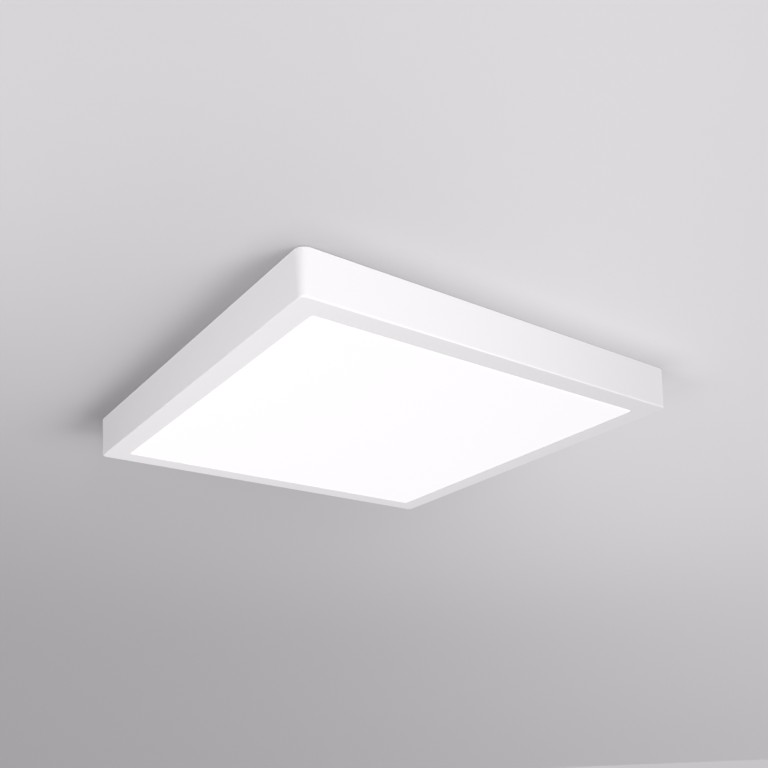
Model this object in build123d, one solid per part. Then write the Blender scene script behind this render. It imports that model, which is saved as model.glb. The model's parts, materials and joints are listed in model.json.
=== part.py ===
from build123d import *
from math import atan2, degrees, hypot
import os

# A square edge-lit ceiling light that snaps on to a bracket.
# Millimetres. z = 0 is the ceiling, the light hangs below it, and the origin is the bracket's centre.
# left and right are -X and +X, front and back are -Y and +Y.

# Outside of the housing frame
side = 300.0                # outer side at the ceiling
height = 29.0               # ceiling to lit face
lean = 2.9                  # how far each wall leans in over the height
corner_radius = 7.0         # at the ceiling; it shrinks downwards with the lean
wall = 2.0
bezel_width = 16.2
bezel_thick = 2.0
lower_edge_round = 0.9
rim_round = 0.5
window_radius = 2.0
window_chamfer = 0.4

# Optical stack, from the lit face up
lens_gap = 0.25             # diffuser to window, all round
lens_thick = 1.6
flange_thick = 1.2
film_thick = 0.4
guide_thick = 3.0
reflector_thick = 0.4
foam_thick = 1.0
guide_overlap = 4.6         # light guide beyond the window, each side
flange_step = 0.5           # diffuser flange beyond the light guide
sheet_inset = 0.6           # film, reflector and foam inside the light guide's edge
rib_gap = 0.3               # diffuser flange to the frame's ribs

# LED strips along the left and right edges
led_gap = 0.3               # LED packages to the guide's edge
led_thick = 0.8
led_width = 2.8
led_height = 2.4
led_pitch = 6.0
strip_thick = 1.0
strip_height = 3.8
strip_tail = 7.0            # strip beyond the light guide, each end

# Ribs, gussets and bosses inside the frame
rail_thick = 1.6
rail_short = 1.5            # strip rails end this far inside the guide's corner
rib_short = 9.0             # cross ribs leave this much more room for the leads
boss_radius = 2.8
boss_inset = 3.1            # boss centre to inner wall
boss_depth = 5.0
pilot_radius = 1.3
gusset_thick = 1.4
gusset_drop = 2.0           # gusset tops below the back plate
gusset_count = 4            # on each side
gusset_inset = 50.0         # outer gussets to the walls they run along

# Back plate
plate_thick = 0.8
plate_gap = 0.7             # to the frame's inner wall
plate_radius = 3.0
bead_inset = 20.0           # bead centre line to the plate's edge
bead_width = 8.0
bead_height = 1.2
bead_radius = 12.0

# Screws, and the play that every screw has in what it clamps
screw_radius = 1.25
screw_play = 0.35
screw_head_radius = 2.5
screw_head = 1.7
thread_play = 0.05
recess_width = 0.7
recess_depth = 0.9

# Mounting bracket
bracket_inset = 50.0        # bracket's ends inside the housing's
bracket_width = 44.0
bracket_thick = 1.2
bracket_flange = 9.0        # depth of its two down-turned sides
bend_radius = 0.8           # inside the bend
slot_spacing_x = 140.0
slot_spacing_y = 20.0
slot_length = 12.0
slot_radius = 2.5
dish_radius = 15.0          # inside the dish that holds the grommet
dish_depth = 1.8
cable_hole_radius = 8.0
grommet_bore = 5.0
grommet_lip = 3.5
grommet_lip_thick = 1.5
grommet_play = 0.05

# Leaf springs and the catch rails they hook into
spring_setback = 30.0       # spring centres inside the bracket's ends
spring_width = 12.0
spring_thick = 0.5
spring_top = 2.0            # ceiling to the spring's upper end
spring_leg = 6.5            # straight stretch against the bracket's side
nose_out = 4.0              # how far the nose stands out from that side
nose_drop = 4.0
tail_in = 3.2               # the tail comes back in by this much
tail_drop = 4.2
catch_gap = 2.6             # bracket's side to the catch rail
catch_thick = 1.0
catch_foot = 9.0
catch_setback = 5.0         # rail ends inside the bracket's ends
catch_lintel = 3.0          # metal above each catch window
window_play = 1.0           # catch window beyond the spring, each side
hook_play = 0.12            # lintel above the spring's upper flank
cable_notch = 44.0          # gap in the rails for the mains cable
notch_sill = 3.0            # rail left standing in that gap
rivet_radius = 1.25
rivet_head_radius = 2.2
rivet_head = 0.9
rivet_pitch = 6.0

# Driver
driver_gap = 16.4           # behind the back catch rail
driver_length = 120.0
driver_width = 38.0
driver_height = 17.2
case_wall = 1.4
cover_thick = 1.4
cover_rim = 2.4
cover_play = 0.2
ear_length = 9.0
ear_width = 9.0
ear_thick = 2.2
ear_offset = 13.0
vent_count = 9
vent_width = 2.2
vent_length = 20.0
vent_pitch = 6.0
board_thick = 1.6
board_gap = 1.0             # board to case walls
standoff = 3.0
standoff_radius = 2.4
standoff_inset = 18.0       # from the case's ends, past the ends of the leads
part_headroom = 1.0         # tallest parts to the cover
core_length = 22.0          # transformer
core_width = 20.0
core_leg = 4.0
coil_play = 0.12
can_radius = 4.0            # electrolytic capacitors
can_length = 15.0
can_gap = 1.2
film_length = 14.0          # film capacitor
film_width = 7.0
drum_radius = 4.8           # choke
fuse_radius = 3.2
fuse_drop = 1.0             # below the tallest parts
chip_side = 5.0             # typical flat package

# Mains terminal
terminal_lane = 28.0        # body to the mains leads' lane
terminal_gap = 1.9          # ears to the front catch rail
terminal_ear = 8.0
terminal_length = 24.0
terminal_height = 13.0
terminal_ear_width = 9.0
terminal_chamfer = 1.5
pole_pitch = 8.0
pole_margin = 5.5           # outer pole to the body's side
chamber_length = 8.5
chamber_width = 5.6
chamber_height = 7.0
contact_base = 1.0          # body left under the contact bars
contact_thick = 1.0
contact_width = 3.6
contact_play = 0.1
entry_radius = 1.6
entry_lift = 3.9            # entry hole above the back plate
entry_funnel = 0.6
button_length = 5.0
button_width = 4.0
button_proud = 2.0
button_play = 0.2
button_round = 0.5
groove_width = 0.8
groove_depth = 0.6
button_foot = 1.0
button_foot_lip = 0.6
clamp_strip = 0.4           # thickness of the clamp springs
clamp_crest = 1.6           # width of their fold
clamp_reach = 2.0           # tip short of the entry's end of the chamber

# Cable clamp and earth point
strip_room = 19.5           # terminal to clamp, where the sheath is stripped
clamp_width = 9.0
clamp_thick = 1.4
cable_radius = 4.2
cable_lift = 0.4            # cable above the back plate
clamp_foot = 7.5
earth_inset = 10.2          # earth screw to the plate's bead
earth_drop = 38.0           # earth screw in front of the terminal's centre
earth_neck = 2.0            # ring to crimp barrel
earth_ring_radius = 4.0
earth_ring_thick = 0.8
earth_barrel_radius = 2.0
earth_barrel_length = 6.0

# Leads
lead_radius = 1.1           # mains leads
led_lead_radius = 0.8
lead_lift = 3.2             # lead centre lines above the back plate
lead_play = 0.12
led_lead_pitch = 2.6
mains_pitch = 4.0
lane_gap = 5.2              # outer mains lead to the plate's bead
lead_depth = 6.0            # lead ends inside the terminal and the driver
lead_bend = 13.0            # largest bend
drop_run = 30.0             # LED leads' lanes inside their drops
turn_reach = 14.0           # turn at the driver's right end
lane_rise = 12.0            # left LED leads' lane behind the driver
mains_hole = 10.0           # first mains lead hole in front of the driver's middle
mains_hole_pitch = 6.0
led_hole = 2.0              # first LED lead hole behind the driver's middle
led_hole_step = 8.0
drop_pitch = 1.8            # between two LED leads as they go down to a strip
drop_bend = 3.0
clip_length = 6.0
clip_wall = 1.1
bush_radius = 2.6
bush_bore = 2.0
bush_lip = 0.8
bush_lip_thick = 0.6
bend_share = 0.45           # of the shorter run, taken up by each bend

# Levels and half widths that follow from the sizes above
draft = degrees(atan2(lean, height))
face_z = -height
bezel_top = face_z + bezel_thick
flange_top = bezel_top + flange_thick
film_top = flange_top + film_thick
guide_top = film_top + guide_thick
reflector_top = guide_top + reflector_thick
plate_low = reflector_top + foam_thick
plate_top = plate_low + plate_thick
guide_mid = film_top + guide_thick / 2
window = side - 2 * lean - 2 * bezel_width
guide_half = window / 2 + guide_overlap
led_count = int(2 * guide_half / led_pitch) - 1
flange_half = guide_half + flange_step
strip_face = guide_half + led_gap + led_thick
rail_face = strip_face + strip_thick
lead_z = plate_top + lead_lift
screw_hole = screw_radius + screw_play
drop_x = strip_face - led_lead_radius - thread_play
drop_y = guide_half + strip_tail - drop_pitch / 2 - led_lead_radius - screw_play


def outer_half(z):
    return side / 2 + z * lean / height


def inner_half(z):
    return outer_half(z) - wall


screw_line = inner_half(bezel_top) - boss_inset
plate_half = inner_half(plate_low) - plate_gap
bead_inner = plate_half - bead_inset - bead_width / 2
bracket_half = bracket_width / 2
bracket_length = side - 2 * bracket_inset
gusset_span = side - 2 * gusset_inset
spring_x = bracket_length / 2 - spring_setback
catch_length = bracket_length - 2 * catch_setback
rail_edge = bracket_half + catch_gap + catch_thick + catch_foot
driver_y = rail_edge + driver_gap + driver_width / 2
terminal_half_x = terminal_length / 2
terminal_half_y = pole_pitch + pole_margin
terminal_x = terminal_lane + terminal_half_x - (bead_inner - lane_gap - mains_pitch)
terminal_y = -(rail_edge + terminal_gap + terminal_ear + terminal_half_y)
clamp_x = terminal_x + terminal_half_x + strip_room + clamp_width / 2
earth_x = earth_inset - bead_inner
earth_y = terminal_y - earth_drop
right_lane = drop_x - drop_run
back_lane = driver_y + driver_width / 2 + lane_rise
board_low = plate_top + case_wall + standoff
board_top = board_low + board_thick
part_top = plate_top + driver_height - cover_thick - part_headroom
board_half_x = driver_length / 2 - case_wall - board_gap
board_half_y = driver_width / 2 - case_wall - board_gap
chamber_top = plate_top + contact_base + chamber_height
poles = ("live", "neutral", "earth")


def block(x0, x1, y0, y1, z0, z1):
    """A box from its six faces."""
    return Pos((x0 + x1) / 2, (y0 + y1) / 2, (z0 + z1) / 2) * Box(x1 - x0, y1 - y0, z1 - z0)


def disc(x, y, z0, z1, radius):
    """An upright cylinder from z0 to z1."""
    return Pos(x, y, (z0 + z1) / 2) * Cylinder(radius, z1 - z0)


def rod_x(x0, x1, y, z, radius):
    """A cylinder along X from x0 to x1."""
    return Pos((x0 + x1) / 2, y, z) * Rot(0, 90, 0) * Cylinder(radius, x1 - x0)


def square_sheet(half, radius, z0, z1):
    """A square sheet with rounded corners."""
    return Pos(0, 0, z0) * extrude(RectangleRounded(2 * half, 2 * half, radius), amount=z1 - z0)


def drafted_block(half, radius, depth):
    """A rounded square block that hangs from the ceiling and leans in with the walls."""
    return extrude(RectangleRounded(2 * half, 2 * half, radius), amount=depth, dir=(0, 0, -1), taper=draft)


def group(solids):
    """Separate solids of one node."""
    return Compound([solid for shape in solids for solid in shape.solids()])


def four(x, y):
    return [(i * x, j * y) for i in (-1, 1) for j in (-1, 1)]


def screw(x, y, seat_z, shank_length, shank_radius=screw_radius, head_radius=screw_head_radius):
    """A pan-head screw that points down from seat_z, with a cross recess."""
    head = disc(x, y, seat_z, seat_z + screw_head, head_radius)
    head = chamfer(head.edges().group_by(Axis.Z)[-1], screw_head * 0.4)
    for width, depth in ((recess_width, head_radius * 1.1), (head_radius * 1.1, recess_width)):
        low = seat_z + screw_head - recess_depth
        head -= block(x - width / 2, x + width / 2, y - depth / 2, y + depth / 2, low, seat_z + screw_head)
    return head + disc(x, y, seat_z - shank_length, seat_z, shank_radius)


def rivet_x(length):
    """A rivet along Y: a domed head at y = 0 and its closed end at y = -length."""
    dome = Pos(0, rivet_head / 2, 0) * Rot(90, 0, 0) * Cylinder(rivet_head_radius, rivet_head)
    dome = chamfer(dome.edges().group_by(Axis.Y)[-1], rivet_head * 0.5)
    tail = Pos(0, -length - rivet_head / 2, 0) * Rot(90, 0, 0) * Cylinder(rivet_head_radius * 0.8, rivet_head)
    shank = Pos(0, -length / 2, 0) * Rot(90, 0, 0) * Cylinder(rivet_radius, length)
    return dome + shank + tail


# ---- Housing frame and what lies in it ----

def frame_boss(x, y):
    """A screw boss on the border, tied to the wall by webs."""
    boss = disc(x, y, bezel_top, plate_low, boss_radius)
    reach = boss_inset + wall / 2
    half = gusset_thick / 2
    if abs(x) > side / 4:
        end = x + reach * (1 if x > 0 else -1)
        boss += block(min(x, end), max(x, end), y - half, y + half, bezel_top, plate_low - gusset_drop)
    if abs(y) > side / 4:
        end = y + reach * (1 if y > 0 else -1)
        boss += block(x - half, x + half, min(y, end), max(y, end), bezel_top, plate_low - gusset_drop)
    return boss


def screw_places():
    corners = four(screw_line, screw_line)
    return corners + [(screw_line, 0), (-screw_line, 0), (0, screw_line), (0, -screw_line)]


def housing_frame():
    body = drafted_block(side / 2, corner_radius, height)
    body = fillet(body.faces().sort_by(Axis.Z)[0].edges(), lower_edge_round)
    inner_radius = max(corner_radius - wall, lean + rim_round)
    body -= drafted_block(side / 2 - wall, inner_radius, height - bezel_thick)
    body -= square_sheet(window / 2, window_radius, face_z, bezel_top)
    lit_side = body.faces().filter_by(Axis.Z).sort_by(Axis.Z)[0]
    body = chamfer(lit_side.inner_wires()[0].edges(), window_chamfer)
    rim = body.faces().filter_by(Axis.Z).sort_by(Axis.Z)[-1]
    body = fillet(rim.outer_wire().edges(), rim_round)

    rail_end = guide_half - rail_short
    rib_end = rail_end - rib_short
    rib_face = flange_half + rib_gap
    gusset_top = plate_low - gusset_drop
    step = gusset_span / (gusset_count - 1)
    marks = [i * step - gusset_span / 2 for i in range(gusset_count)]
    half = gusset_thick / 2
    for turn in (0, 180):
        extra = block(rail_face, rail_face + rail_thick, -rail_end, rail_end, bezel_top, plate_low)
        extra += block(-rib_end, rib_end, rib_face, rib_face + rail_thick, bezel_top, plate_low)
        for mark in marks:
            extra += block(rail_face + rail_thick / 2, inner_half(bezel_top) + wall / 2,
                           mark - half, mark + half, bezel_top, gusset_top)
            extra += block(mark - half, mark + half, rib_face + rail_thick / 2,
                           inner_half(bezel_top) + wall / 2, bezel_top, gusset_top)
        body += Rot(0, 0, turn) * extra
    for x, y in screw_places():
        body += frame_boss(x, y)
    for x, y in screw_places():
        body -= disc(x, y, plate_low - boss_depth, plate_low, pilot_radius)
    return body


def diffuser():
    lens_half = window / 2 - lens_gap
    body = square_sheet(lens_half, window_radius - lens_gap, face_z, bezel_top)
    body = fillet(body.edges().group_by(Axis.Z)[0], lens_gap)
    body += square_sheet(flange_half, window_radius, bezel_top, flange_top)
    hollow = lens_half - lens_thick
    body -= square_sheet(hollow, window_radius - lens_gap, face_z + lens_thick, flange_top)
    return body


def led_strip(hand):
    x0, x1 = sorted((hand * strip_face, hand * rail_face))
    half = guide_half + strip_tail
    low = guide_mid - strip_height / 2
    return block(x0, x1, -half, half, low, low + strip_height)


def led_row(hand):
    x0, x1 = sorted((hand * strip_face, hand * (strip_face - led_thick)))
    first = -(led_count - 1) * led_pitch / 2
    chips = []
    for i in range(led_count):
        y = first + i * led_pitch
        chips.append(block(x0, x1, y - led_width / 2, y + led_width / 2,
                           guide_mid - led_height / 2, guide_mid + led_height / 2))
    return group(chips)


# ---- Back plate and what is fixed to it ----

def bead_ring(width, z0, z1, slope):
    """A rounded square ring on the bead's centre line, with sloping flanks."""
    line = plate_half - bead_inset
    ring = square_sheet(line + width / 2, bead_radius + width / 2, z0, z1)
    ring -= square_sheet(line - width / 2, bead_radius - width / 2, z0, z1)
    return chamfer(ring.edges().group_by(Axis.Z)[-1], slope)


def rail_marks():
    """Rivet places along a catch rail's foot."""
    reach = catch_length / 2 - catch_foot
    y = bracket_half + catch_gap + catch_thick + catch_foot / 2
    middle = (spring_x + cable_notch / 2) / 2
    return [(x, y) for x in (-reach, -middle, middle, reach)]


def back_plate():
    body = square_sheet(plate_half, plate_radius, plate_low, plate_top)
    slope = bead_height * 0.75
    body += bead_ring(bead_width, plate_top, plate_top + bead_height, slope)
    body -= bead_ring(bead_width - 2 * plate_thick, plate_low, plate_low + bead_height, slope)
    holes = screw_places() + driver_screw_places() + terminal_screw_places() + clamp_screw_places()
    holes += [(earth_x, earth_y)]
    for x, y in holes:
        body -= disc(x, y, plate_low, plate_top, screw_hole)
    for hand in (-1, 1):
        body -= disc(hand * drop_x, drop_y, plate_low, plate_top, bush_radius + thread_play)
        for x, y in rail_marks():
            body -= disc(x, hand * y, plate_low, plate_top, rivet_radius + thread_play)
    return body


def wire_bushes():
    bushes = []
    for hand in (-1, 1):
        x = hand * drop_x
        bush = disc(x, drop_y, plate_low - bush_lip_thick, plate_top + bush_lip_thick, bush_radius)
        for z in (plate_low - bush_lip_thick, plate_top):
            bush += disc(x, drop_y, z, z + bush_lip_thick, bush_radius + bush_lip)
        bush -= disc(x, drop_y, plate_low - bush_lip_thick, plate_top + bush_lip_thick, bush_bore)
        bushes.append(bush)
    return group(bushes)


def spring_line():
    """The spring's centre line from its upper end down, as y outwards and z."""
    y = bracket_half + spring_thick / 2
    leg = -spring_top - spring_leg
    nose = leg - nose_drop
    return [(y, -spring_top), (y, leg), (y + nose_out, nose), (y + nose_out - tail_in, nose - tail_drop)]


def retaining_spring():
    """One leaf spring at x = 0 on the back side of the bracket."""
    points = spring_line()
    line = FilletPolyline(*[(0, y, z) for y, z in points], radius=spring_thick * 2)
    start = Plane(origin=(0, points[0][0], points[0][1]), x_dir=(1, 0, 0), z_dir=(0, 0, -1))
    leaf = sweep(start * Rectangle(spring_width, spring_thick), path=line)
    for x in (-rivet_pitch / 2, rivet_pitch / 2):
        hole = Pos(x, bracket_half, -spring_top - spring_leg / 2) * Rot(90, 0, 0)
        leaf -= hole * Cylinder(rivet_radius + thread_play, bracket_width)
    return leaf


def spring_places():
    return [("front_left", -spring_x, 180), ("front_right", spring_x, 180),
            ("back_left", -spring_x, 0), ("back_right", spring_x, 0)]


def spring_rivets():
    rivets = []
    for _, x, turn in spring_places():
        for shift in (-rivet_pitch / 2, rivet_pitch / 2):
            y = bracket_half + spring_thick
            place = Pos(x, 0, 0) * Rot(0, 0, turn) * Pos(shift, y, -spring_top - spring_leg / 2)
            rivets.append(place * rivet_x(spring_thick + bracket_thick))
    return group(rivets)


def catch_window():
    """Bottom and top of a catch window: it clears both flanks of the spring by hook_play."""
    y_nose, z_nose = spring_line()[2]
    reach = y_nose - bracket_half - catch_gap
    above = reach * nose_drop / nose_out + spring_thick / 2 * hypot(nose_out, nose_drop) / nose_out
    below = reach * tail_drop / tail_in + spring_thick / 2 * hypot(tail_in, tail_drop) / tail_in
    return z_nose - below - hook_play, z_nose + above + hook_play


def catch_rail(hand):
    """A rail of L section, with a window for each spring and a gap for the mains cable."""
    y0 = bracket_half + catch_gap
    y1 = y0 + catch_thick
    half = catch_length / 2
    window_low, window_high = catch_window()
    top = window_high + catch_lintel
    rail = block(-half, half, y0, y1, plate_top, top)
    rail += block(-half, half, y0, y1 + catch_foot, plate_top, plate_top + catch_thick)
    rail = fillet(rail.edges().filter_by(Axis.X).filter_by_position(
        Axis.Z, plate_top - thread_play, plate_top + thread_play).sort_by(Axis.Y)[0], catch_thick * 0.9)
    sill = plate_top + notch_sill
    rail -= block(-cable_notch / 2, cable_notch / 2, y0, y1, sill, top)
    for x in (-spring_x, spring_x):
        reach = spring_width / 2 + window_play
        rail -= block(x - reach, x + reach, y0, y1, window_low, window_high)
    for x, y in rail_marks():
        rail -= disc(x, y, plate_top, plate_top + catch_thick, rivet_radius + thread_play)
    return Rot(0, 0, 0 if hand > 0 else 180) * rail


def rail_rivets():
    rivets = []
    for hand in (-1, 1):
        for x, y in rail_marks():
            head = disc(x, hand * y, plate_top + catch_thick, plate_top + catch_thick + rivet_head,
                        rivet_head_radius)
            head = chamfer(head.edges().group_by(Axis.Z)[-1], rivet_head * 0.5)
            rivets.append(head + disc(x, hand * y, plate_low, plate_top + catch_thick, rivet_radius))
    return group(rivets)


# ---- Bracket on the ceiling ----

def mounting_bracket():
    half = bracket_length / 2
    body = block(-half, half, -bracket_half, bracket_half, -bracket_flange, 0)
    long_edges = body.edges().filter_by(Axis.X).group_by(Axis.Z)[-1]
    body = fillet(long_edges, bend_radius + bracket_thick)
    inner = bracket_half - bracket_thick
    channel = block(-half, half, -inner, inner, -bracket_flange, -bracket_thick)
    channel = fillet(channel.edges().filter_by(Axis.X).group_by(Axis.Z)[-1], bend_radius)
    body -= channel
    corners = body.edges().filter_by(Axis.Y).group_by(Axis.Z)[0]
    body = chamfer(corners, bracket_flange / 3)
    body += disc(0, 0, -dish_depth - bracket_thick, 0, dish_radius + bracket_thick)
    body -= disc(0, 0, -dish_depth, 0, dish_radius)
    body -= disc(0, 0, -dish_depth - bracket_thick, 0, cable_hole_radius)
    slot = extrude(SlotOverall(slot_length, 2 * slot_radius), amount=-bracket_thick)
    for x, y in four(slot_spacing_x / 2, slot_spacing_y / 2):
        body -= Pos(x, y, 0) * slot
    for _, x, turn in spring_places():
        for shift in (-rivet_pitch / 2, rivet_pitch / 2):
            place = Pos(x, 0, 0) * Rot(0, 0, turn)
            hole = Pos(shift, bracket_half, -spring_top - spring_leg / 2) * Rot(90, 0, 0)
            body -= place * hole * Cylinder(rivet_radius + thread_play, 4 * bracket_thick)
    return body


def cable_grommet():
    top = -dish_depth + grommet_lip_thick
    low = -dish_depth - bracket_thick - grommet_lip_thick
    body = disc(0, 0, low, top, cable_hole_radius - grommet_play)
    for z in (low, -dish_depth):
        lip = disc(0, 0, z, z + grommet_lip_thick, cable_hole_radius + grommet_lip)
        body += chamfer(lip.edges(), grommet_lip_thick * 0.3)
    return body - disc(0, 0, low, top, grommet_bore)


# ---- Driver ----

def driver_screw_places():
    x = driver_length / 2 + ear_length / 2
    return [(-x, driver_y + ear_offset), (x, driver_y - ear_offset)]


def driver_leads():
    """Height of the lead holes is lead_z; this gives their y on the left and on the right end."""
    left = [driver_y - mains_hole + i * mains_hole_pitch for i in (0, 1)]
    right = [driver_y + led_hole + i * led_hole_step + j * led_lead_pitch for i in (0, 1) for j in (0, 1)]
    return left, right


def driver_base():
    half_x, half_y = driver_length / 2, driver_width / 2
    top = plate_top + driver_height - cover_thick
    body = block(-half_x, half_x, driver_y - half_y, driver_y + half_y, plate_top, top)
    body = fillet(body.edges().filter_by(Axis.Z), case_wall)
    body -= block(-half_x + case_wall, half_x - case_wall, driver_y - half_y + case_wall,
                  driver_y + half_y - case_wall, plate_top + case_wall, top)
    floor = plate_top + case_wall
    for x, y in four(half_x - standoff_inset, half_y - case_wall - 2 * standoff_radius):
        body += disc(x, driver_y + y, floor, floor + standoff, standoff_radius)
    for x, y in driver_screw_places():
        inward = -1 if x > 0 else 1
        reach = sorted((x - inward * ear_length / 2, x + inward * (ear_length / 2 + case_wall / 2)))
        ear = block(reach[0], reach[1], y - ear_width / 2, y + ear_width / 2, plate_top, plate_top + ear_thick)
        body += ear
        body -= disc(x, y, plate_top, plate_top + ear_thick, screw_hole)
    left, right = driver_leads()
    for y in left:
        body -= rod_x(-half_x, -half_x + case_wall, y, lead_z, lead_radius + lead_play)
    for y in right:
        body -= rod_x(half_x - case_wall, half_x, y, lead_z, led_lead_radius + lead_play)
    return body


def driver_cover():
    half_x, half_y = driver_length / 2, driver_width / 2
    top = plate_top + driver_height
    low = top - cover_thick
    body = block(-half_x, half_x, driver_y - half_y, driver_y + half_y, low, top)
    body = fillet(body.edges().filter_by(Axis.Z), case_wall)
    body = chamfer(body.faces().sort_by(Axis.Z)[-1].edges(), cover_thick * 0.4)
    inset = case_wall + cover_play
    rim = block(-half_x + inset, half_x - inset, driver_y - half_y + inset, driver_y + half_y - inset,
                low - cover_rim, low)
    rim_wall = case_wall * 0.8
    inset += rim_wall
    rim -= block(-half_x + inset, half_x - inset, driver_y - half_y + inset, driver_y + half_y - inset,
                 low - cover_rim, low)
    body += rim
    slot = extrude(SlotOverall(vent_length, vent_width), amount=cover_thick)
    first = -(vent_count - 1) * vent_pitch / 2
    for i in range(vent_count):
        body -= Pos(first + i * vent_pitch, driver_y, low) * Rot(0, 0, 90) * slot
    return body


def driver_board():
    return block(-board_half_x, board_half_x, driver_y - board_half_y, driver_y + board_half_y,
                 board_low, board_top)


def on_board(share_x, share_y):
    """A place on the board, as shares of its half length and half width."""
    return share_x * board_half_x, driver_y + share_y * board_half_y


def transformer_core():
    """Two E halves: three legs across X joined by two bars."""
    x, y = on_board(0.33, 0)
    half_x, half_y = core_length / 2, core_width / 2
    core = block(x - half_x, x + half_x, y - half_y, y + half_y, board_top, part_top)
    reach = half_x - core_leg
    for hand in (-1, 1):
        y0, y1 = sorted((y + hand * core_leg / 2, y + hand * (half_y - core_leg)))
        core -= block(x - reach, x + reach, y0, y1, board_top, part_top)
    return chamfer(core.edges().filter_by(Axis.Z).group_by(Axis.X)[0], core_leg * 0.15)


def transformer_winding():
    """The wound bobbin's two sides, one in each window of the core."""
    x, y = on_board(0.33, 0)
    reach = core_length / 2 - core_leg - coil_play
    inner, outer = core_leg / 2 + coil_play, core_width / 2 - core_leg - coil_play
    sides = []
    for hand in (-1, 1):
        y0, y1 = sorted((y + hand * inner, y + hand * outer))
        coil = block(x - reach, x + reach, y0, y1, board_top, part_top)
        sides.append(chamfer(coil.edges().filter_by(Axis.X), (outer - inner) * 0.2))
    return group(sides)


def bulk_capacitors():
    """Two lying capacitors on the mains side and an upright one at the output."""
    cans = []
    x, y = on_board(-0.17, 0)
    for hand in (-1, 1):
        can_y = y + hand * (can_radius + can_gap / 2)
        can = rod_x(x - can_length / 2, x + can_length / 2, can_y, board_top + can_radius, can_radius)
        cans.append(chamfer(can.edges(), can_radius * 0.15))
    x, y = on_board(0.71, 0)
    can = disc(x, y, board_top, part_top, can_radius)
    cans.append(chamfer(can.edges().group_by(Axis.Z)[-1], can_radius * 0.15))
    return group(cans)


def film_capacitor():
    x, y = on_board(-0.71, -0.3)
    half_x, half_y = film_width / 2, film_length / 2
    body = block(x - half_x, x + half_x, y - half_y, y + half_y, board_top, part_top)
    return chamfer(body.edges().group_by(Axis.Z)[-1], film_width * 0.1)


def filter_choke():
    """A drum core with its winding between two flanges."""
    x, y = on_board(-0.48, 0.3)
    rim = (part_top - board_top) * 0.18
    body = disc(x, y, board_top, part_top, drum_radius * 0.75)
    body += disc(x, y, board_top, board_top + rim, drum_radius)
    return body + disc(x, y, part_top - rim, part_top, drum_radius)


def fuse():
    x, y = on_board(-0.85, 0.54)
    body = disc(x, y, board_top, part_top - fuse_drop, fuse_radius)
    return chamfer(body.edges().group_by(Axis.Z)[-1], fuse_radius * 0.2)


def driver_chips():
    """Rectifier, controller, switch and output diode on the board."""
    chips = []
    for share_x, share_y, long, wide, tall in ((-0.50, -0.54, 1.4, 1, 0.48), (0.62, -0.6, 1, 0.8, 0.32),
                                               (0.88, -0.5, 1.2, 1.2, 0.44), (0.86, 0.66, 1, 0.8, 0.44)):
        x, y = on_board(share_x, share_y)
        half_x, half_y = long * chip_side / 2, wide * chip_side / 2
        chips.append(block(x - half_x, x + half_x, y - half_y, y + half_y,
                           board_top, board_top + tall * chip_side))
    return group(chips)


# ---- Mains terminal, with one chamber and one release button for each pole ----

def pole_y(index):
    return terminal_y + (1 - index) * pole_pitch


def terminal_screw_places():
    reach = terminal_half_y + terminal_ear / 2
    return [(terminal_x, terminal_y - reach), (terminal_x, terminal_y + reach)]


def terminal_body():
    x0, x1 = terminal_x - terminal_half_x, terminal_x + terminal_half_x
    y0, y1 = terminal_y - terminal_half_y, terminal_y + terminal_half_y
    body = block(x0, x1, y0, y1, plate_top, plate_top + terminal_height)
    body = chamfer(body.edges().filter_by(Axis.Y).group_by(Axis.Z)[-1], terminal_chamfer)
    half_ear = terminal_ear_width / 2
    for x, y in terminal_screw_places():
        inward = -1 if y > terminal_y else 1
        reach = sorted((y - inward * terminal_ear / 2, y + inward * (terminal_ear / 2 + contact_base)))
        body += block(x - half_ear, x + half_ear, reach[0], reach[1], plate_top, plate_top + ear_thick)
        body -= disc(x, y, plate_top, plate_top + ear_thick, screw_hole)
    floor = plate_top + contact_base
    half_c = chamber_length / 2
    for i in range(len(poles)):
        y = pole_y(i)
        body -= block(terminal_x - half_c, terminal_x + half_c, y - chamber_width / 2, y + chamber_width / 2,
                      floor, chamber_top)
        reach_x, reach_y = button_length / 2 + button_play, button_width / 2 + button_play
        body -= block(terminal_x - reach_x, terminal_x + reach_x, y - reach_y, y + reach_y,
                      chamber_top, plate_top + terminal_height)
        entry_z = plate_top + entry_lift
        body -= rod_x(terminal_x + half_c, x1, y, entry_z, entry_radius)
        funnel = Pos(x1 - entry_funnel / 2, y, entry_z) * Rot(0, 90, 0)
        body -= funnel * Cone(entry_radius, entry_radius + entry_funnel, entry_funnel)
        body -= rod_x(x0, x0 + lead_depth, y, lead_z, lead_radius + lead_play)
        half_w = contact_width / 2 + contact_play
        body -= block(x0 + case_wall, terminal_x - half_c, y - half_w, y + half_w,
                      floor, floor + contact_thick + contact_play)
    return body


def terminal_contacts():
    """Brass bars that run from each chamber to under the end of its lead."""
    bars = []
    floor = plate_top + contact_base
    for i in range(len(poles)):
        y = pole_y(i)
        bars.append(block(terminal_x - terminal_half_x + case_wall + contact_play,
                          terminal_x + chamber_length / 2 - contact_play,
                          y - contact_width / 2, y + contact_width / 2, floor, floor + contact_thick))
    return group(bars)


def clamp_spring(index):
    """A strip that stands on the contact bar, folds over and slopes down towards the entry hole."""
    y = pole_y(index)
    floor = plate_top + contact_base + contact_thick
    back = terminal_x - chamber_length / 2 + clamp_strip / 2 + contact_play
    crest = chamber_top - button_foot - clamp_strip / 2 - contact_play
    tip = terminal_x + chamber_length / 2 - clamp_reach
    line = FilletPolyline((back, y, floor), (back, y, crest), (back + clamp_crest, y, crest),
                          (tip, y, floor + entry_radius), radius=clamp_strip)
    start = Plane(origin=(back, y, floor), x_dir=(1, 0, 0), z_dir=(0, 0, 1))
    return sweep(start * Rectangle(clamp_strip, contact_width), path=line)


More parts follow.
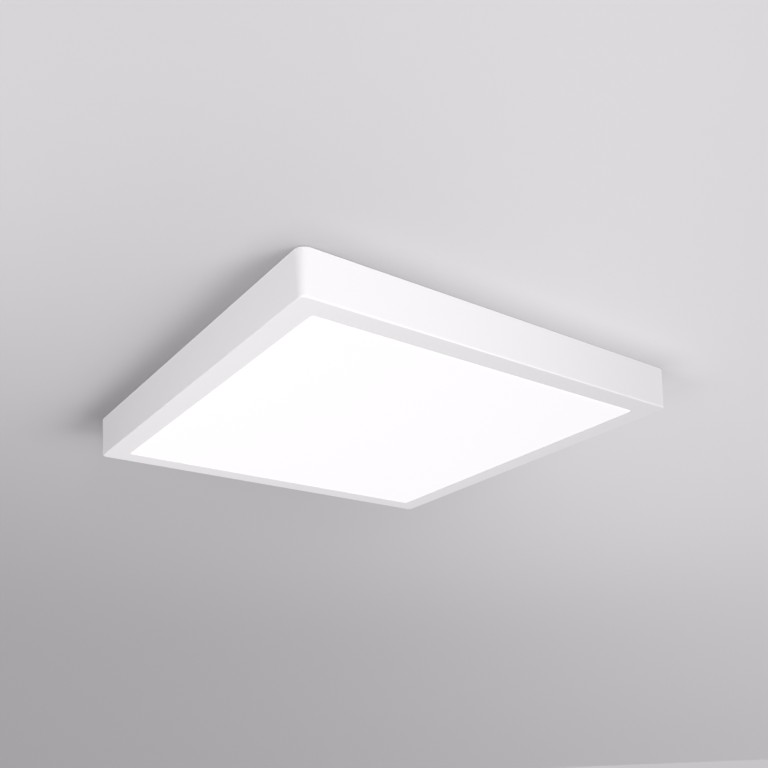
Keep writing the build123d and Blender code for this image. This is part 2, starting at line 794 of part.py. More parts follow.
def release_button(index):
    y = pole_y(index)
    top = plate_top + terminal_height + button_proud
    half_x, half_y = button_length / 2, button_width / 2
    stem = block(terminal_x - half_x, terminal_x + half_x, y - half_y, y + half_y, chamber_top, top)
    stem = chamfer(stem.edges().group_by(Axis.Z)[-1], button_round)
    groove = block(terminal_x - half_x * 0.6, terminal_x + half_x * 0.6, y - groove_width / 2,
                   y + groove_width / 2, top - groove_depth, top)
    lip = button_foot_lip
    foot = block(terminal_x - half_x - lip, terminal_x + half_x + lip, y - half_y - lip, y + half_y + lip,
                 chamber_top - button_foot, chamber_top)
    return stem + foot - groove


# ---- Cable clamp and earth point ----

def clamp_screw_places():
    reach = cable_radius + clamp_thick + clamp_foot / 2
    return [(clamp_x, terminal_y - reach), (clamp_x, terminal_y + reach)]


def cable_clamp():
    """An omega strap: an arch over the cable and two feet."""
    axis_z = plate_top + cable_lift + cable_radius
    outer = cable_radius + clamp_thick
    x0, x1 = clamp_x - clamp_width / 2, clamp_x + clamp_width / 2
    reach = outer + clamp_foot
    body = rod_x(x0, x1, terminal_y, axis_z, outer)
    body += block(x0, x1, terminal_y - outer, terminal_y + outer, plate_top, axis_z)
    body -= block(x0, x1, terminal_y - outer, terminal_y + outer, plate_top - 2 * outer, plate_top)
    body += block(x0, x1, terminal_y - reach, terminal_y + reach, plate_top, plate_top + clamp_thick)
    body -= rod_x(x0, x1, terminal_y, axis_z, cable_radius)
    body -= block(x0, x1, terminal_y - cable_radius, terminal_y + cable_radius, plate_top, axis_z)
    for x, y in clamp_screw_places():
        body -= disc(x, y, plate_top, plate_top + clamp_thick, screw_hole)
    return body


def earth_lug():
    """A flat ring with a crimp barrel that points back along +Y."""
    z1 = plate_top + earth_ring_thick
    body = disc(earth_x, earth_y, plate_top, z1, earth_ring_radius)
    neck_end = earth_y + earth_ring_radius + earth_neck
    half = earth_barrel_radius * 0.8
    body += block(earth_x - half, earth_x + half, earth_y, neck_end, plate_top, z1)
    barrel = Pos(earth_x, neck_end + earth_barrel_length / 2, lead_z) * Rot(90, 0, 0)
    body += barrel * Cylinder(earth_barrel_radius, earth_barrel_length)
    body += block(earth_x - half, earth_x + half, neck_end - earth_ring_thick, neck_end + earth_ring_thick,
                  plate_top, lead_z)
    body -= barrel * Cylinder(lead_radius + lead_play, earth_barrel_length)
    body -= disc(earth_x, earth_y, plate_top, z1, screw_hole)
    return body


# ---- Leads ----

def route(points, radius, last_bend=None):
    """A round lead along straight runs, with the largest bend or as much of it as the runs allow."""
    bends = []
    for before, corner, after in zip(points, points[1:], points[2:]):
        shorter = min((Vector(*corner) - Vector(*before)).length, (Vector(*after) - Vector(*corner)).length)
        bends.append(min(lead_bend, bend_share * shorter))
    if last_bend:
        bends[-1] = last_bend
    line = FilletPolyline(*points, radius=bends)
    start = Plane(origin=points[0], z_dir=Vector(*points[1]) - Vector(*points[0]))
    return sweep(start * Circle(radius), path=line)


def mains_lane(index):
    """X of the stretch of a mains lead that runs past the ends of the catch rails."""
    return lane_gap + (1 - index) * mains_pitch - bead_inner


def mains_lead(index):
    """From the terminal round the ends of the catch rails to the driver's left end."""
    y, y_end, lane = pole_y(index), driver_leads()[0][index], mains_lane(index)
    x0 = terminal_x - terminal_half_x + lead_depth - thread_play
    x_end = lead_depth - board_half_x
    points = [(x0, y), (lane, y), (lane, y_end), (x_end, y_end)]
    return route([(px, py, lead_z) for px, py in points], lead_radius)


def earth_lead():
    y = pole_y(2)
    x0 = terminal_x - terminal_half_x + lead_depth - thread_play
    y_end = earth_y + earth_ring_radius + earth_neck + thread_play
    return route([(px, py, lead_z) for px, py in ((x0, y), (earth_x, y), (earth_x, y_end))], lead_radius)


def led_lead(hand, index):
    """From the driver's right end to the back end of one LED strip, and down to it."""
    order = index if hand > 0 else 1 - index
    shift = order * led_lead_pitch
    lane = hand * (right_lane - shift)
    x_drop, y_drop = hand * drop_x, drop_y + (order - 0.5) * drop_pitch
    x0 = board_half_x - lead_depth
    if hand > 0:
        y = driver_leads()[1][index]
        points = [(x0, y), (lane, y)]
    else:
        y, y_lane = driver_leads()[1][2 + index], back_lane + shift
        x_turn = driver_length / 2 + turn_reach + shift
        points = [(x0, y), (x_turn, y), (x_turn, y_lane), (lane, y_lane)]
    points = [(px, py, lead_z) for px, py in points + [(lane, y_drop), (x_drop, y_drop)]]
    points.append((x_drop, y_drop, guide_mid - strip_height / 2))
    return route(points, led_lead_radius, drop_bend)


def clip(x, y, pitch, radius, turn):
    """A saddle over two leads that run along X before it is turned."""
    half_y = pitch / 2 + radius + clip_wall
    body = block(-clip_length / 2, clip_length / 2, -half_y, half_y, plate_top, lead_z + radius + clip_wall)
    body = fillet(body.edges().filter_by(Axis.X).group_by(Axis.Z)[-1], clip_wall)
    for hand in (-1, 1):
        body -= rod_x(-clip_length / 2, clip_length / 2, hand * pitch / 2, lead_z, radius + lead_play)
    return Pos(x, y, 0) * Rot(0, 0, turn) * body


def wire_clips():
    clips = []
    lane = (mains_lane(0) + mains_lane(1)) / 2
    low, high = pole_y(0) + lead_bend, driver_leads()[0][0] - lead_bend
    for share in (0.27, 0.73):
        clips.append(clip(lane, low + share * (high - low), mains_pitch, lead_radius, 90))
    low, high = led_lead_pitch + lead_bend - right_lane, driver_length / 2
    for share in (0.15, 0.52, 0.9):
        clips.append(clip(low + share * (high - low), back_lane + led_lead_pitch / 2, led_lead_pitch,
                          led_lead_radius, 0))
    low, high = driver_leads()[1][1] + lead_bend, drop_y - lead_bend
    clips.append(clip(right_lane - led_lead_pitch / 2, (low + high) / 2, led_lead_pitch, led_lead_radius, 90))
    return group(clips)


def build():
    sheet = guide_half - sheet_inset
    seat = plate_top
    nodes = {
        "mounting_bracket": mounting_bracket(),
        "cable_grommet": cable_grommet(),
        "spring_rivets": spring_rivets(),
        "housing_frame": housing_frame(),
        "diffuser": diffuser(),
        "diffusion_film": square_sheet(sheet, window_radius, flange_top, film_top),
        "light_guide": square_sheet(guide_half, window_radius / 4, film_top, guide_top),
        "reflector_sheet": square_sheet(sheet, window_radius, guide_top, reflector_top),
        "foam_sheet": square_sheet(sheet, window_radius, reflector_top, plate_low),
        "led_strip_left": led_strip(-1),
        "led_strip_right": led_strip(1),
        "led_chips_left": led_row(-1),
        "led_chips_right": led_row(1),
        "back_plate": back_plate(),
        "plate_screws": group(screw(x, y, seat, plate_thick + boss_depth - 1) for x, y in screw_places()),
        "catch_rail_front": catch_rail(-1),
        "catch_rail_back": catch_rail(1),
        "rail_rivets": rail_rivets(),
        "wire_bushes": wire_bushes(),
        "driver_base": driver_base(),
        "driver_cover": driver_cover(),
        "driver_board": driver_board(),
        "transformer_core": transformer_core(),
        "transformer_winding": transformer_winding(),
        "bulk_capacitors": bulk_capacitors(),
        "film_capacitor": film_capacitor(),
        "filter_choke": filter_choke(),
        "fuse": fuse(),
        "driver_chips": driver_chips(),
        "driver_screws": group(screw(x, y, seat + ear_thick, ear_thick + plate_thick)
                               for x, y in driver_screw_places()),
        "terminal_body": terminal_body(),
        "terminal_contacts": terminal_contacts(),
        "terminal_screws": group(screw(x, y, seat + ear_thick, ear_thick + plate_thick)
                                 for x, y in terminal_screw_places()),
        "cable_clamp": cable_clamp(),
        "clamp_screws": group(screw(x, y, seat + clamp_thick, clamp_thick + plate_thick)
                              for x, y in clamp_screw_places()),
        "earth_lug": earth_lug(),
        "earth_screw": screw(earth_x, earth_y, seat + earth_ring_thick, earth_ring_thick + plate_thick),
        "live_lead": mains_lead(0),
        "neutral_lead": mains_lead(1),
        "earth_lead": earth_lead(),
        "led_lead_red": group([led_lead(-1, 0), led_lead(1, 0)]),
        "led_lead_black": group([led_lead(-1, 1), led_lead(1, 1)]),
        "wire_clips": wire_clips(),
    }
    leaf = retaining_spring()
    for place, x, turn in spring_places():
        nodes["retaining_spring_" + place] = Pos(x, 0, 0) * Rot(0, 0, turn) * leaf
    for i, pole in enumerate(poles):
        nodes["clamp_spring_" + pole] = clamp_spring(i)
        nodes["release_button_" + pole] = release_button(i)
    return nodes


os.makedirs("parts", exist_ok=True)
for name, shape in build().items():
    export_step(shape, "parts/" + name + ".step")
    print(name, len(shape.solids()), "solids", round(shape.volume / 1000, 2), "cm3")
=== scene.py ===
import bmesh
import bpy
import json
from math import cos, pi, radians, sin
from mathutils import Matrix, Vector


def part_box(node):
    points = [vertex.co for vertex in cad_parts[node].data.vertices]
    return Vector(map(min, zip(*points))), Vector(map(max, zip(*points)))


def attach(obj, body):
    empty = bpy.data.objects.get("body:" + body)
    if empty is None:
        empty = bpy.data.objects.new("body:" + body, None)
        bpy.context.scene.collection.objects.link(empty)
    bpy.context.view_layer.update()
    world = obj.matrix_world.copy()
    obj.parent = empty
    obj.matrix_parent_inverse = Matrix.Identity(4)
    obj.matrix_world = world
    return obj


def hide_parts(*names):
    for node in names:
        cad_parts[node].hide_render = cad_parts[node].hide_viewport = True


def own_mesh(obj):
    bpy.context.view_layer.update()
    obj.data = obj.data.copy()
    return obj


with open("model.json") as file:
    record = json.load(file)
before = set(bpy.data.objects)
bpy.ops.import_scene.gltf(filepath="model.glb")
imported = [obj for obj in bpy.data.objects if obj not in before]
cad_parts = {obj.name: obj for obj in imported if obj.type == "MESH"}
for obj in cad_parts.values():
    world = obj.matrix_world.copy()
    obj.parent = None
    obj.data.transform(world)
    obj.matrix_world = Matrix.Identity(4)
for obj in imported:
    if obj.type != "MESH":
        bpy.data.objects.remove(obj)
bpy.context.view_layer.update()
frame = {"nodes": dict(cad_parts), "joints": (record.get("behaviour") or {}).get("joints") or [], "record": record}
nodes = frame["nodes"]
print("frame loaded:", len(nodes), "nodes")


class Wire:  # one shader socket, so that shader maths reads like plain maths
    def __init__(self, shading, socket):
        self.shading = shading
        self.socket = socket

    def math(self, operation, *others):
        values = dict(enumerate((self, *others)))
        return self.shading.node("ShaderNodeMath", {"operation": operation}, values)

    def __add__(self, other):
        return self.math("ADD", other)

    def __mul__(self, other):
        return self.math("MULTIPLY", other)

    def __sub__(self, other):
        return self.math("SUBTRACT", other)

    def __rsub__(self, other):
        return self.math("MULTIPLY_ADD", -1, other)

    def __truediv__(self, other):
        return self.math("DIVIDE", other)

    def __pow__(self, other):
        return self.math("POWER", other)

    def __abs__(self):
        return self.math("ABSOLUTE")

    def __lt__(self, other):
        return self.math("LESS_THAN", other)

    __radd__ = __add__
    __rmul__ = __mul__

    def clamp(self, low=0, high=1):
        return self.math("MAXIMUM", low).math("MINIMUM", high)


class Shading:  # the nodes of one material, or of the air
    def __init__(self, owner):
        owner.use_nodes = True
        self.nodes = owner.node_tree.nodes
        self.links = owner.node_tree.links

    def feed(self, value, socket):
        if isinstance(value, Wire):
            self.links.new(value.socket, socket)
        else:
            socket.default_value = value

    def node(self, kind, settings=None, values=None, out=0):
        made = self.nodes.new(kind)
        for key, value in (settings or {}).items():
            setattr(made, key, value)
        for key, value in (values or {}).items():
            self.feed(value, made.inputs[key])
        return Wire(self, made.outputs[out])

    def mix(self, factor, first, second):
        # 6 and 7 are the Mix node's inputs for colours, and 2 is its output for one
        return self.node("ShaderNodeMix", {"data_type": "RGBA"}, {0: factor, 6: first, 7: second}, out=2)


class Finish(Shading):  # one material: a plain base, and patterns laid over it
    def __init__(self, name, color, roughness, metallic=0, **sockets):
        self.material = bpy.data.materials.new(name)
        super().__init__(self.material)
        self.shader = self.nodes["Principled BSDF"]
        self.place = self.node("ShaderNodeTexCoord", out="Object")
        self.paint = (*color, 1)
        self.roughness = roughness
        self.set("Base Color", self.paint)
        self.set("Roughness", roughness)
        self.set("Metallic", metallic)
        for socket, value in sockets.items():
            self.set(socket.replace("_", " "), value)  # Coat_Weight sets the socket Coat Weight

    def set(self, socket, value):
        self.feed(value, self.shader.inputs[socket])

    def along(self, axis):
        return self.node("ShaderNodeSeparateXYZ", values={"Vector": self.place}, out=axis)

    def noise(self, scale, detail=2, roughness=0.5, stretch=(1, 1, 1)):
        place = self.node("ShaderNodeMapping", values={"Vector": self.place, "Scale": stretch})
        return self.node("ShaderNodeTexNoise", values={
            "Vector": place, "Scale": scale, "Detail": detail, "Roughness": roughness})

    def cells(self, scale, feature="F1", out="Distance", randomness=1):
        return self.node("ShaderNodeTexVoronoi", {"feature": feature}, {
            "Vector": self.place, "Scale": scale, "Randomness": randomness}, out)

    def tint(self, pattern, other, above=0, gain=1):
        # the colour so far moves towards another one where the pattern rises above a level
        self.paint = self.mix((pattern - above).clamp() * gain, self.paint, (*other, 1))
        self.set("Base Color", self.paint)

    def gloss(self, pattern, reach):
        # duller where the pattern is over its middle, shinier where it is under
        self.set("Roughness", (pattern - 0.5) * reach + self.roughness)

    def bump(self, height, depth, strength=1):
        self.set("Normal", self.node("ShaderNodeBump", values={
            "Height": height, "Distance": depth, "Strength": strength}))


def shade(color, factor):
    return tuple(min(1, channel * factor) for channel in color)


def powderCoat(name, color, roughness):
    # fine orange peel, and a slow drift of tone and gloss over the casting
    finish = Finish(name, color, roughness, Coat_Weight=0.04, Coat_Roughness=0.35)
    finish.tint(finish.noise(5), shade(color, 0.985), above=0.4, gain=0.25)
    finish.gloss(finish.noise(9, detail=3), reach=0.12)
    finish.bump(finish.noise(1400, detail=3, roughness=0.6), depth=0.00003)
    return finish


def moulded(name, color, roughness):
    # spark-eroded texture of an injection mould, with faint flow marks
    finish = Finish(name, color, roughness)
    flow = finish.noise(38, detail=4, roughness=0.55, stretch=(1, 2.4, 1))
    finish.tint(flow, shade(color, 0.93), above=0.35, gain=0.6)
    finish.gloss(flow, reach=0.18)
    finish.bump(finish.noise(2600, roughness=0.7), depth=0.00003)
    return finish


def pressedSteel(name, color, roughness, grain=(1, 14, 1)):
    # rolled sheet: fine grain along one axis, and a bluish passivation bloom
    finish = Finish(name, color, roughness, metallic=1)
    rolled = finish.noise(260, detail=5, roughness=0.7, stretch=grain)
    bloom = finish.noise(24, detail=3, roughness=0.6)
    red, green, blue = color
    finish.tint(bloom, (red * 0.82, green * 0.88, blue), above=0.4, gain=1.2)
    finish.gloss(rolled * 0.6 + bloom * 0.4, reach=0.3)
    finish.bump(rolled, depth=0.00002, strength=0.5)
    return finish


def galvanised(name, color, roughness, spangle=120):
    # hot-dip spangle: each crystal has its own shade and gloss, a feathered grain and a groove round it
    finish = Finish(name, color, roughness, metallic=0.95)
    crystal = finish.node("ShaderNodeSeparateColor", values={"Color": finish.cells(spangle, out="Color")})
    feather = finish.noise(1100, detail=4, roughness=0.7, stretch=(1, 3, 1))
    cloud = finish.noise(9, detail=3, roughness=0.6)
    grey = crystal * 0.55 + feather * 0.15 + cloud * 0.3
    finish.tint(grey, shade(color, 0.82))
    finish.gloss(grey, reach=0.12)
    groove = finish.cells(spangle, "DISTANCE_TO_EDGE").clamp(high=0.1)
    finish.bump(groove + feather * 0.05, depth=0.00004, strength=0.3)
    return finish


def turnedMetal(name, color, roughness):
    # bare metal, darker and duller in small worn patches
    finish = Finish(name, color, roughness, metallic=1)
    wear = finish.noise(700, detail=4, roughness=0.7)
    finish.tint(wear, shade(color, 0.72), above=0.45, gain=1.4)
    finish.gloss(wear, reach=0.3)
    finish.bump(wear, depth=0.00003, strength=0.6)
    return finish


def sheath(name, color, roughness=0.32):
    # extruded PVC, softly mottled
    finish = Finish(name, color, roughness, Coat_Weight=0.1)
    mottle = finish.noise(500, detail=3, roughness=0.6)
    finish.tint(mottle, shade(color, 0.85), above=0.4, gain=0.8)
    finish.gloss(mottle, reach=0.16)
    finish.bump(mottle, depth=0.00002, strength=0.5)
    return finish


# the stripe's height over the middle of the lead and its half width are shares of the lead's radius
earthSheath = {"ground": (0.05, 0.28, 0.03), "stripe": (0.74, 0.56, 0.03), "height": 0.55, "width": 0.35}


def stripedSheath(name, node, look):
    # the stripe runs along both shoulders of a level lead
    finish = sheath(name, look["ground"])
    low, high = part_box(node)
    middle, radius = (low[2] + high[2]) / 2, (high[2] - low[2]) / 2
    shoulder = middle + look["height"] * radius
    band = abs(finish.along("Z") - shoulder) < look["width"] * radius
    finish.tint(band, look["stripe"])
    return finish


def rubber(name, color, roughness=0.75):
    # dust greys the rubber a little
    finish = Finish(name, color, roughness)
    dust = finish.noise(160, detail=5, roughness=0.7)
    finish.tint(dust, [channel * 0.8 + 0.06 for channel in color], above=0.5, gain=1.2)
    finish.gloss(dust, reach=0.2)
    finish.bump(finish.noise(1500, detail=3), depth=0.00004, strength=0.6)
    return finish


def circuitBoard(name, color, copper):
    # solder mask, slightly raised over round copper pads
    finish = Finish(name, color, roughness=0.34, Coat_Weight=0.3)
    pads = finish.cells(240, randomness=0.7) < 0.32  # a pad's radius, in cells
    finish.tint(pads, copper, gain=0.8)
    finish.gloss(finish.noise(300, detail=3), reach=0.14)
    finish.bump(pads, depth=0.00003, strength=0.6)
    return finish


def translucentSheet(name, color, roughness, alpha=1):
    # a smooth sheet with faint clouds in it
    finish = Finish(name, color, roughness, Alpha=alpha)
    finish.tint(finish.noise(60, detail=3), shade(color, 0.95), above=0.4, gain=0.5)
    finish.bump(finish.noise(1800), depth=0.00001, strength=0.5)
    return finish


# the lit face: its glow is lifted along the border, and the lift is gone liftEnd edges further in
litFace = {"color": (0.42, 0.41, 0.42), "half": 0.1309, "edge": 0.0025, "liftEnd": 1.6, "lift": 0.05,
           "mottle": 0.006, "strength": 0.612, "tint": (1.0, 0.972, 1.0)}


def opalGlow(name, light):
    # the diffuser lit from behind, a touch brighter along its border
    finish = Finish(name, light["color"], roughness=0.42, Specular_IOR_Level=0.3, Emission_Strength=1)
    outwards = abs(finish.along("X")).math("MAXIMUM", abs(finish.along("Y")))
    inwards = (light["half"] - outwards) / light["edge"]
    border = (light["liftEnd"] - inwards).clamp() * light["lift"]
    mottle = (finish.noise(40) - 0.5) * light["mottle"] + 1
    glow = (border + mottle) * light["strength"]
    channels = zip(("Red", "Green", "Blue"), light["tint"])
    finish.set("Emission Color", finish.node("ShaderNodeCombineColor", values={
        channel: glow * share for channel, share in channels}))
    finish.bump(finish.noise(2200), depth=0.00001, strength=0.3)
    return finish


housingCoat = {"color": (0.88, 0.858, 0.88), "roughness": 0.52}


def makeFinishes():
    # the record's slots and the finish that each one gets
    return {
        "frame_white": powderCoat("powderCoatWhite", **housingCoat),
        "opal": opalGlow("opalDiffuser", litFace),
        "film": translucentSheet("diffusionFilm", (0.88, 0.89, 0.90), roughness=0.6),
        "clear_guide": translucentSheet("acrylicGuide", (0.86, 0.92, 0.92), roughness=0.08, alpha=0.5),
        "reflector": translucentSheet("reflectorFilm", (0.90, 0.90, 0.90), roughness=0.35),
        "foam": rubber("foamSheet", (0.80, 0.81, 0.82), roughness=0.9),
        "strip_board": moulded("stripBoard", (0.86, 0.86, 0.84), roughness=0.3),
        "led_package": moulded("ledPackage", (0.90, 0.80, 0.45), roughness=0.25),
        "zinc_steel": pressedSteel("zincSteel", (0.61, 0.63, 0.65), roughness=0.34),
        "plate_steel": galvanised("galvanisedPlate", (0.62, 0.63, 0.64), roughness=0.38),
        "spring_steel": pressedSteel("springStrip", (0.46, 0.47, 0.50), roughness=0.22, grain=(14, 1, 1)),
        "rivet": turnedMetal("rivetAluminium", (0.70, 0.71, 0.72), roughness=0.35),
        "screw": turnedMetal("screwZinc", (0.62, 0.64, 0.66), roughness=0.28),
        "grommet": rubber("grommetRubber", (0.03, 0.03, 0.032)),
        "bush": rubber("bushRubber", (0.72, 0.72, 0.68), roughness=0.6),
        "driver_white": moulded("driverCase", (0.80, 0.80, 0.77), roughness=0.48),
        "board": circuitBoard("driverBoard", (0.02, 0.13, 0.05), copper=(0.04, 0.20, 0.08)),
        "ferrite": turnedMetal("ferriteCore", (0.05, 0.05, 0.055), roughness=0.6),
        "winding": sheath("windingTape", (0.80, 0.58, 0.08), roughness=0.4),
        "capacitor": sheath("capacitorSleeve", (0.012, 0.014, 0.03), roughness=0.3),
        "film_box": moulded("filmCapacitor", (0.62, 0.40, 0.05), roughness=0.4),
        "choke": sheath("chokeSleeve", (0.02, 0.02, 0.022), roughness=0.35),
        "fuse": moulded("fuseCap", (0.02, 0.02, 0.02), roughness=0.4),
        "chip": moulded("chipEpoxy", (0.012, 0.012, 0.012), roughness=0.5),
        "terminal": moulded("terminalHousing", (0.66, 0.66, 0.64), roughness=0.42),
        "brass": turnedMetal("contactBrass", (0.78, 0.56, 0.22), roughness=0.25),
        "button_live": moulded("buttonBrown", (0.16, 0.07, 0.035), roughness=0.4),
        "button_neutral": moulded("buttonBlue", (0.02, 0.10, 0.42), roughness=0.4),
        "button_earth": moulded("buttonGreen", (0.06, 0.26, 0.03), roughness=0.4),
        "clamp_plastic": moulded("clampNylon", (0.80, 0.80, 0.78), roughness=0.5),
        "lug": turnedMetal("lugTin", (0.78, 0.78, 0.76), roughness=0.25),
        "wire_brown": sheath("leadBrown", (0.13, 0.055, 0.03)),
        "wire_blue": sheath("leadBlue", (0.02, 0.08, 0.36)),
        "wire_earth": stripedSheath("leadGreenYellow", "earth_lead", earthSheath),
        "wire_red": sheath("leadRed", (0.50, 0.012, 0.012)),
        "wire_black": sheath("leadBlack", (0.012, 0.012, 0.012)),
        "clip": moulded("clipNylon", (0.82, 0.82, 0.76), roughness=0.45),
    }


def dressNodes():
    slotOf = {row["node"]: row["material_slot"] for row in frame["record"]["subparts"]}
    for name, node in nodes.items():
        node.data.materials.clear()
        node.data.materials.append(finishes[slotOf[name]].material)
    print("finishes on", len(slotOf), "nodes")


finishes = makeFinishes()
dressNodes()


def meshObject(name, shape):
    mesh = bpy.data.meshes.new(name)
    shape.to_mesh(mesh)
    shape.free()
    made = bpy.data.objects.new(name, mesh)
    bpy.context.collection.objects.link(made)
    return made


# the spring strips inside the mains terminal: they yield under the release buttons
clampSpring = {"thick": 0.0004, "crest": 0.0016, "tipLift": 0.0016, "bend": 0.0007, "turns": 3}


def bentStrip(name, path, low, high, shape):
    # a strip bent along a path in the XZ plane, as wide as its node
    strip = bmesh.new()
    verts = [strip.verts.new((x, low[1], z)) for x, z in path]
    for pair in zip(verts, verts[1:]):
        strip.edges.new(pair)
    bmesh.ops.bevel(strip, geom=verts[1:-1], affect="VERTICES", offset=shape["bend"], segments=shape["turns"],
                    profile=0.5, material=-1)
    sheet = bmesh.ops.extrude_edge_only(strip, edges=strip.edges[:])["geom"]
    moved = [part for part in sheet if isinstance(part, bmesh.types.BMVert)]
    bmesh.ops.translate(strip, verts=moved, vec=(0, high[1] - low[1], 0))
    bmesh.ops.recalc_face_normals(strip, faces=strip.faces)
    bmesh.ops.solidify(strip, geom=strip.faces[:], thickness=shape["thick"])
    bmesh.ops.recalc_face_normals(strip, faces=strip.faces)
    return meshObject(name, strip)


def makeClampSprings():
    for joint in frame["joints"]:
        if not joint["name"].startswith("push_"):
            continue
        node = joint["name"].replace("push", "clamp_spring")
        low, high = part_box(node)
        path = [(low[0], low[2]), (low[0], high[2]), (low[0] + clampSpring["crest"], high[2]),
                (high[0], low[2] + clampSpring["tipLift"])]
        made = bentStrip(node + "_strip", path, low, high, clampSpring)
        made.data.materials.append(finishes["spring_steel"].material)
        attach(made, "lamp")
        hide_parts(node)
        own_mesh(made)
    print("clamp springs bent")


makeClampSprings()


# the photograph's viewpoint, found from the corners of the light; focal and picture are in pixels
view = {"focal": 898.4, "picture": 768, "sensor": 36.0, "azimuth": 54.52, "elevation": -22.98,
        "distance": 0.6651, "aimRight": 0.0154, "aimUp": 0.0137, "roll": -1.809, "near": 0.01, "far": 100}


def levelAxes(ahead):
    right = ahead.cross(Vector((0, 0, 1))).normalized()
    return right, right.cross(ahead)


def placeCamera():
    azimuth, elevation = radians(view["azimuth"]), radians(view["elevation"])
    outwards = Vector((sin(azimuth) * cos(elevation), -cos(azimuth) * cos(elevation), sin(elevation)))
    stand = view["distance"] * outwards
    ahead = -stand.normalized()
    right, up = levelAxes(ahead)
    ahead = (ahead + view["aimRight"] * right + view["aimUp"] * up).normalized()
    right, up = levelAxes(ahead)
    roll = radians(view["roll"])
    right, up = cos(roll) * right + sin(roll) * up, cos(roll) * up - sin(roll) * right
    lens = bpy.data.cameras.new("viewpoint")
    lens.sensor_fit = "HORIZONTAL"
    lens.sensor_width = view["sensor"]
    lens.lens = view["focal"] / view["picture"] * view["sensor"]
    lens.clip_start = view["near"]
    lens.clip_end = view["far"]
    camera = bpy.data.objects.new("viewpoint", lens)
    camera.matrix_world = Matrix.Translation(stand) @ Matrix((right, up, -ahead)).transposed().to_4x4()
    bpy.context.collection.objects.link(camera)
    bpy.context.scene.camera = camera
    bpy.context.scene.view_settings.view_transform = "Standard"  # colours as they are, with no film look
    print("camera stands at", [round(v, 3) for v in stand])


placeCamera()


# a plain room: the ceiling a hair above the light, the floor well below it, and the air round both
room = {"half": 30.0, "gap": 0.0003, "floorDrop": 0.75, "ceiling": (0.732, 0.718, 0.732),
        "floor": (0.78, 0.765, 0.78), "air": (0.3, 0.294, 0.3), "horizon": (0.57, 0.553, 0.57)}


def stagePlane(name, z, color, turn):
    plane = bmesh.new()
    bmesh.ops.create_grid(plane, x_segments=1, y_segments=1, size=room["half"])
    bmesh.ops.rotate(plane, verts=plane.verts, cent=(0, 0, 0), matrix=Matrix.Rotation(turn, 3, "X"))
    bmesh.ops.translate(plane, verts=plane.verts, vec=(0, 0, z))
    made = meshObject(name, plane)
    finish = Finish(name, color, roughness=0.9, Specular_IOR_Level=0.1)
    made.data.materials.append(finish.material)
    return made, finish


def hideFrom(plane, *rays):
    for ray in rays:
        setattr(plane, "visible_" + ray, False)


# painted light and shade on the ceiling: its colour runs from darker to lighter along driftAim, grows darker far
# off, and is darker close to the light as a painted contact shadow
ceilingPaintedLightAndShade = {"drift": 0.278, "driftReach": 0.073, "driftAim": 46.4, "driftStart": 0.079,
                "driftSpread": 0.603, "fade": 0.081, "fadeReach": 3.1,
                "contact": 0.55, "contactReach": 0.03, "contactSamples": 12}


def paintLightAndShadeOnCeiling(finish, look):
    x, y = finish.along("X"), finish.along("Y")
    aim = radians(look["driftAim"])
    across = x * cos(aim) + y * sin(aim) - look["driftStart"]
    away = x * x + y * y
    reach = away * look["driftSpread"] ** 2 + look["driftReach"] ** 2
    # painted light: the colour turns lighter along driftAim, standing in for the room's light falling more on that
    # side
    drift = across / (across * across + reach) ** 0.5 * 0.5 + 0.5
    darker = shade(room["ceiling"], 1 - look["drift"])
    lighter = shade(room["ceiling"], 1 + look["drift"])
    paint = finish.mix(drift, (*darker, 1), (*lighter, 1))
    # painted shade: darker far off, standing in for the light falling off with distance
    far = away / (away + look["fadeReach"] ** 2) * look["fade"]
    # painted contact shadow: darker where ambient occlusion finds the light close by
    bare = finish.node("ShaderNodeAmbientOcclusion", {"samples": look["contactSamples"]}, {
        "Distance": look["contactReach"]}, out="AO")
    near = (1 - bare) * look["contact"]
    black = (0, 0, 0, 1)
    finish.set("Base Color", finish.mix(1 - (1 - far) * (1 - near), paint, black))


def hangCeiling():
    ceiling, finish = stagePlane("ceilingPlane", room["gap"], room["ceiling"], turn=pi)
    hideFrom(ceiling, "diffuse", "glossy", "transmission", "shadow")
    paintLightAndShadeOnCeiling(finish, ceilingPaintedLightAndShade)
    # seen only from below, so that the views from above show the back of the light
    above = finish.node("ShaderNodeNewGeometry", out="Backfacing")
    painted = Wire(finish, finish.shader.outputs["BSDF"])
    clear = finish.node("ShaderNodeBsdfTransparent")
    both = finish.node("ShaderNodeMixShader", values={0: above, 1: painted, 2: clear})
    finish.feed(both, finish.nodes["Material Output"].inputs["Surface"])


def layFloor():
    floor = stagePlane("floorPlane", -room["floorDrop"], room["floor"], turn=0)[0]
    hideFrom(floor, "diffuse", "glossy", "shadow")  # the low suns shine up through it


def fillAir():
    # the air lights the room softly, and is paler where it is seen directly or mirrored
    world = bpy.data.worlds.new("studioAir")
    air = Shading(world)
    direct = air.node("ShaderNodeLightPath", out="Is Camera Ray")
    mirrored = air.node("ShaderNodeLightPath", out="Is Glossy Ray")
    color = air.mix(direct + mirrored, (*room["air"], 1), (*room["horizon"], 1))
    air.feed(color, air.nodes["Background"].inputs["Color"])
    bpy.context.scene.world = world


hangCeiling()
layFloor()
fillAir()
print("ceiling, floor and air in place")


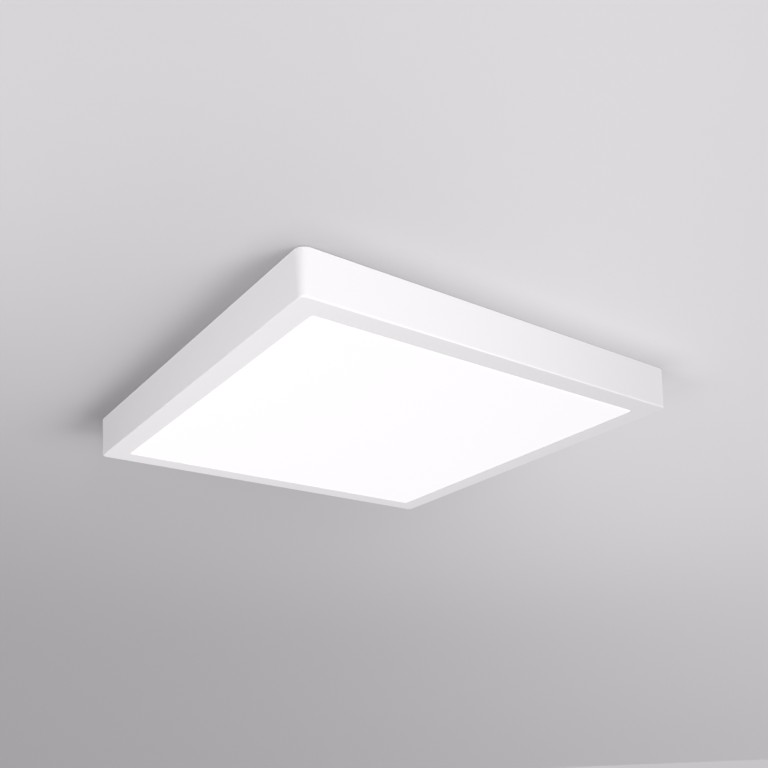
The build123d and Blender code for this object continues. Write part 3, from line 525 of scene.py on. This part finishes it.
# where each light stands, what it looks at, its size and its power
# of a sun, these places give only the direction, and its size is an angle
lamps = {
    "backSun": {"kind": "SUN", "size": 50, "power": 0.49,
                "at": (0.4, 1, -1.2), "to": (0, 0, 0)},
    "rightSun": {"kind": "SUN", "size": 32, "power": 1.64,
                 "at": (1, 0.6, -0.6), "to": (0, 0, 0)},
    "wallBox": {"kind": "AREA", "size": 0.2, "power": 1.15,
                "at": (0.45, -0.9, -0.08), "to": (0.1, 0, -0.015)},
    "leftBox": {"kind": "AREA", "size": 0.4, "power": 0.244,
                "at": (-0.1, -1.2, -0.15), "to": (0, 0, -0.015)},
    "cornerBox": {"kind": "AREA", "size": 0.25, "power": 0.837,
                  "at": (0.1, -0.5, -0.35), "to": (0.05, -0.15, 0)},
    "lowBox": {"kind": "AREA", "size": 0.4, "power": 0.393,
               "at": (-0.3, 0.3, -0.7), "to": (-0.1, 0.15, 0)},
    "lowLeftBox": {"kind": "AREA", "size": 0.3, "power": 0.129,
                   "at": (-0.25, 0, -0.6), "to": (-0.08, 0.05, 0)},
    "sideSpot": {"kind": "SPOT", "size": 0.1, "power": 16.4, "cone": 24,
                 "at": (1.3, -0.5, -0.2), "to": (0.15, -0.12, -0.015)},
    "topSun": {"kind": "SUN", "size": 30, "power": 1.4, "mirrored": False,  # else it burns out the metal
               "at": (-0.15, 0.12, 1.0), "to": (0, 0, 0)},
    "topBox": {"kind": "AREA", "size": 2.4, "power": 15,
               "at": (-0.25, 0.3, 1.6), "to": (0, 0, 0)},
}


def hangLamps():
    for name, lamp in lamps.items():
        light = bpy.data.lights.new(name, lamp["kind"])
        light.energy = lamp["power"]
        if lamp["kind"] == "SUN":
            light.angle = radians(lamp["size"])
        elif lamp["kind"] == "AREA":
            light.size = lamp["size"]
        else:
            light.shadow_soft_size = lamp["size"]
            light.spot_size = radians(lamp["cone"])
            light.spot_blend = 1
        made = bpy.data.objects.new(name, light)
        made.visible_glossy = lamp.get("mirrored", True)
        way = Vector(lamp["to"]) - Vector(lamp["at"])
        made.matrix_world = Matrix.Translation(lamp["at"]) @ way.to_track_quat("-Z", "Y").to_matrix().to_4x4()
        bpy.context.collection.objects.link(made)
    print("studio lights:", len(lamps))


hangLamps()


def writeSizes():
    print("scene script done")


writeSizes()
